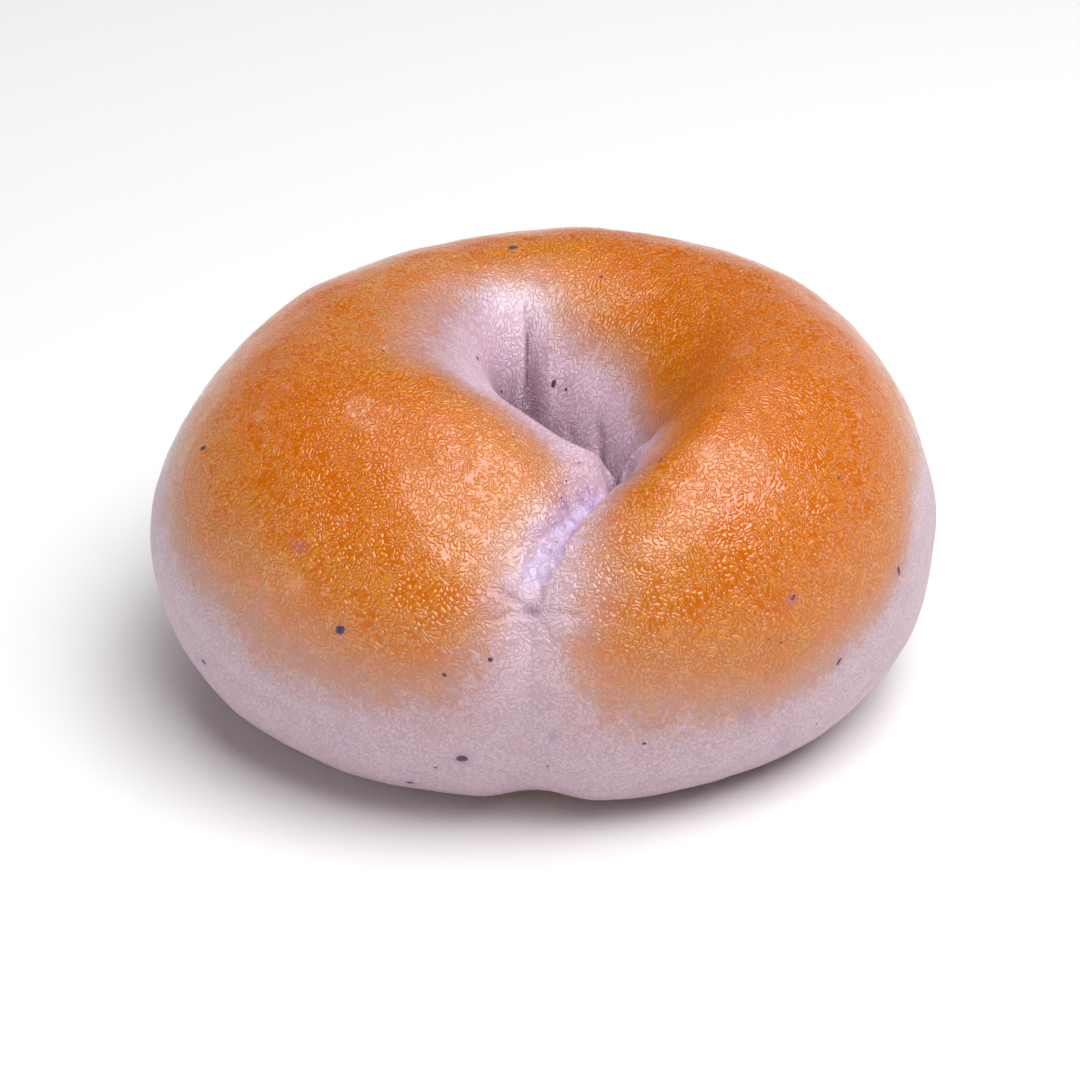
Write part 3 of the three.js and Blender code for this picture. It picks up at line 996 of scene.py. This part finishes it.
def crust_colour_group():
    """Colour of the crust from how far it has baked and what has marked it, with painted shade in the
    furrows, folds and holes and beside the strip.
    """
    group, given, out = new_group(
        "crust_colour",
        [
            ("Browning", NUMBER),
            ("Lilac", NUMBER),
            ("Strip", NUMBER),
            ("Rim", NUMBER),
            ("Pale", NUMBER),
            ("Stain_and_shadow", NUMBER),
            ("Under", NUMBER),
            ("Painted_shade", NUMBER),
            ("Furrow", NUMBER),
            ("Mottle", NUMBER),
        ],
        [("Colour", COLOUR)],
    )
    dough = blend(group, given["Lilac"], PALE_DOUGH, LILAC_DOUGH)
    baked = node(group, "ShaderNodeValToRGB", None)
    band = baked.color_ramp
    for place, tone in ((0.25, PINK_CRUST), (0.5, TAN_CRUST), (0.75, GOLDEN_CRUST)):
        band.elements.new(place).color = tone
    band.elements[0].color = PINK_CRUST
    band.elements[-1].color = DEEP_CRUST
    mottle = calc(group, "MULTIPLY", calc(group, "SUBTRACT", given["Mottle"], 0.5), 0.55)
    mottle = calc(group, "MULTIPLY", mottle, eased(group, given["Browning"], 0.0, 0.15))
    level = calc(group, "ADD", given["Browning"], mottle)
    feed(group, baked.inputs["Fac"], level)
    colour = blend(group, eased(group, level, 0.0, 0.25), dough, baked.outputs["Color"])
    # Furrows darkened: partly browner crust, partly painted shade
    furrow = calc(group, "MULTIPLY", given["Furrow"], eased(group, given["Browning"], 0.1, 0.9, 0.45, 0.85))
    furrow_colour_and_shade = blend(group, eased(group, given["Browning"], 0.1, 0.5), FURROW_PALE_AND_SHADE, FURROW_BROWN_AND_SHADE)
    colour = blend(group, furrow, colour, furrow_colour_and_shade)
    colour = blend(group, given["Under"], colour, UNDERSIDE_TAN)
    colour = blend(group, given["Strip"], colour, blend(group, given["Rim"], WET_STRIP, STRIP_RIM))
    colour = blend(group, calc(group, "MULTIPLY", given["Pale"], PALE_SHARE), colour, BLISTER_PALE)
    # Juice stains, and painted shadow beside the strip
    colour = blend(group, calc(group, "MULTIPLY", given["Stain_and_shadow"], STAIN_AND_SHADOW_SHARE), colour, BERRY_JUICE_AND_SHADOW)
    # Painted shade over the slit, cleft, pinched corner, pucker and pits
    colour = blend(group, calc(group, "MULTIPLY", given["Painted_shade"], PAINTED_SHADE_SHARE), colour, PAINTED_SHADE_COLOUR)
    feed(group, out["Colour"], colour)
    return group


def new_material(name):
    """A material with nothing but its surface shader."""
    material = bpy.data.materials.new(name)
    material.use_nodes = True
    tree = material.node_tree
    tree.nodes.clear()
    shader = node(tree, "ShaderNodeBsdfPrincipled")
    node(tree, "ShaderNodeOutputMaterial", None, Surface=shader.outputs["BSDF"])
    return material, tree, shader


DULL_ROUGHNESS, GLOSSY_ROUGHNESS = 0.42, 0.1
GLAZE_IOR = 1.65


def crust_material():
    """The baked skin from foot to slit, and the wet strip along the joint."""
    material, tree, shader = new_material("baked_crust")
    grain = node(tree, "ShaderNodeAttribute", {"attribute_name": "grain"}).outputs["Vector"]
    browning, lilac, strip = mask(tree, "browning"), mask(tree, "lilac"), mask(tree, "strip")
    wrinkles = node(tree, "ShaderNodeGroup", {"node_tree": wrinkles_group()})
    feed(tree, wrinkles.inputs["Grain"], grain)
    baked_strength = eased(tree, browning, 0.0, 0.6, 0.6, 1.0)
    strength = calc(tree, "MAXIMUM", baked_strength, calc(tree, "MULTIPLY", lilac, 0.8))
    feed(tree, wrinkles.inputs["Strength"], strength)
    feed(tree, wrinkles.inputs["Cobbles"], 0.5)
    bubbles = node(tree, "ShaderNodeGroup", {"node_tree": bubbles_group()}, Grain=grain)
    coarse = noisy(tree, grain, 260, 2.0, 0.6).outputs[0]
    speckle = noisy(tree, grain, 1300, 1.0).outputs[0]
    mottle = calc(tree, "MULTIPLY", calc(tree, "ADD", coarse, speckle), 0.5)
    small_rims = calc(tree, "MULTIPLY", bubbles.outputs["Rim"], 0.35)
    colour = node(tree, "ShaderNodeGroup", {"node_tree": crust_colour_group()})
    for name, value in (
        ("Browning", browning),
        ("Lilac", lilac),
        ("Strip", strip),
        ("Rim", calc(tree, "MAXIMUM", small_rims, mask(tree, "rim"))),
        ("Pale", mask(tree, "pale")),
        ("Stain_and_shadow", mask(tree, "stain_and_shadow")),
        ("Under", mask(tree, "under")),
        ("Painted_shade", mask(tree, "painted_shade")),
        ("Furrow", wrinkles.outputs["Furrow"]),
        ("Mottle", mottle),
    ):
        feed(tree, colour.inputs[name], value)
    feed(tree, shader.inputs["Base Color"], colour.outputs["Colour"])
    rough = eased(tree, mask(tree, "sheen"), 0.0, 0.9, DULL_ROUGHNESS, GLOSSY_ROUGHNESS)
    strip_rough = calc(tree, "MULTIPLY", strip, DULL_ROUGHNESS)
    feed(tree, shader.inputs["Roughness"], calc(tree, "MAXIMUM", rough, strip_rough))
    shader.inputs["IOR"].default_value = GLAZE_IOR
    height = node(tree, "ShaderNodeMix", {"data_type": "FLOAT"})
    feed(tree, height.inputs[0], strip)
    feed(tree, height.inputs[2], wrinkles.outputs["Height"])
    feed(tree, height.inputs[3], bubbles.outputs["Height"])
    bump = node(tree, "ShaderNodeBump", None, Strength=1.0, Distance=1.0, Height=height.outputs[0])
    feed(tree, shader.inputs["Normal"], bump.outputs["Normal"])
    return material


def berry_material():
    """Dark blue-grey berry skin."""
    material, tree, shader = new_material("berry_skin")
    where = node(tree, "ShaderNodeTexCoord").outputs["Object"]
    speckle = noisy(tree, where, 2500, 2.0).outputs[0]
    colour = blend(tree, eased(tree, speckle, 0.35, 0.7), shade(46, 34, 52), shade(98, 70, 98))
    feed(tree, shader.inputs["Base Color"], colour)
    shader.inputs["Roughness"].default_value = 0.4
    return material


# The far floor glows a little, so that it stays pale where the softboxes don't reach
FLOOR_GLOW = 0.7
FLOOR_HALF_SIZE = 3.0


def floor():
    """A plain pale floor."""
    corners = np.array([(-1, -1, 0), (1, -1, 0), (1, 1, 0), (-1, 1, 0)]) * FLOOR_HALF_SIZE
    thing = new_mesh("pale_floor", corners, [(0, 1, 2, 3)])
    material, tree, shader = new_material("pale_floor")
    shader.inputs["Base Color"].default_value = (0.9, 0.9, 0.9, 1)
    shader.inputs["Roughness"].default_value = 0.8
    away = node(tree, "ShaderNodeVectorMath", {"operation": "LENGTH"})
    feed(tree, away.inputs[0], node(tree, "ShaderNodeTexCoord").outputs["Object"])
    shader.inputs["Emission Color"].default_value = (1, 1, 1, 1)
    glow = eased(tree, away.outputs["Value"], 0.4, 1.0, 0.0, FLOOR_GLOW)
    feed(tree, shader.inputs["Emission Strength"], glow)
    thing.data.materials.append(material)


# Light
ROOM_ABOVE = 0.08
ROOM_LEVEL = 1.38
ROOM_BACK = 0.32
# Softboxes: where each hangs, how far off, how wide and deep, and its power in watts
SOFTBOXES = {
    "top_softbox": ((0.3, -0.25, 0.9), 0.7, 0.6, 0.48, 4.5),
    "wide_softbox": ((0.2, 0.12, 1.0), 0.9, 1.3, 1.0, 5.0),
    "back_softbox": ((-0.3, 0.42, 0.85), 0.8, 0.2, 0.15, 0.2),
    "side_softbox": ((-0.92, -0.3, 0.25), 0.8, 0.5, 0.4, 0.9),
}


def room():
    """A dim studio over a pale horizon."""
    world = bpy.data.worlds.new("studio")
    bpy.context.scene.world = world
    world.use_nodes = True
    tree = world.node_tree
    where = node(tree, "ShaderNodeTexCoord").outputs["Generated"]
    parts = node(tree, "ShaderNodeSeparateXYZ", None, Vector=where)
    height = parts.outputs["Z"]
    background = tree.nodes["Background"]
    background.inputs["Color"].default_value = (1, 1, 1, 1)
    level = eased(tree, height, 0.0, 0.24, ROOM_LEVEL, ROOM_ABOVE)
    dim_back = eased(tree, parts.outputs["Y"], -0.2, 0.7, 1.0, ROOM_BACK)
    feed(tree, background.inputs["Strength"], calc(tree, "MULTIPLY", level, dim_back))


def softbox(name, aim, distance, width, depth, power):
    """A soft square lamp hung in the direction it is given, facing the bagel."""
    lamp = bpy.data.lights.new(name, "AREA")
    lamp.shape = "RECTANGLE"
    lamp.size, lamp.size_y = width, depth
    lamp.energy = power
    thing = bpy.data.objects.new(name, lamp)
    aim = Vector(aim).normalized()
    thing.location = aim * distance
    thing.rotation_euler = aim.to_track_quat("Z", "Y").to_euler()
    bpy.context.collection.objects.link(thing)


# Viewing angle
VIEW_ELEVATION = 31
VIEW_ANGLE = 20
VIEW_WIDTH = 138.7 * MM
VIEW_AIM = (-1.05 * MM, 0.0, 15.03 * MM)


def camera():
    """Looks down on the front of the bagel."""
    data = bpy.data.cameras.new("camera")
    half = math.radians(VIEW_ANGLE / 2)
    data.sensor_width = 36
    data.lens = data.sensor_width / 2 / math.tan(half)
    distance = VIEW_WIDTH / 2 / math.tan(half)
    elevation = math.radians(VIEW_ELEVATION)
    back = Vector((0, -math.cos(elevation), math.sin(elevation)))
    thing = bpy.data.objects.new("camera", data)
    thing.location = Vector(VIEW_AIM) + Vector(SHIFT) + back * distance
    thing.rotation_euler = back.to_track_quat("Z", "Y").to_euler()
    bpy.context.collection.objects.link(thing)
    bpy.context.scene.camera = thing


camera()
floor()
room()
for name, settings in SOFTBOXES.items():
    softbox(name, *settings)
loaf = crust()
loaf.data.materials.append(crust_material())
berries = berry_flecks(loaf)
berries.data.materials.append(berry_material())
for piece in (loaf, berries):
    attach(piece, "root")
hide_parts("bagel")
bpy.context.scene.view_settings.view_transform = "Standard"
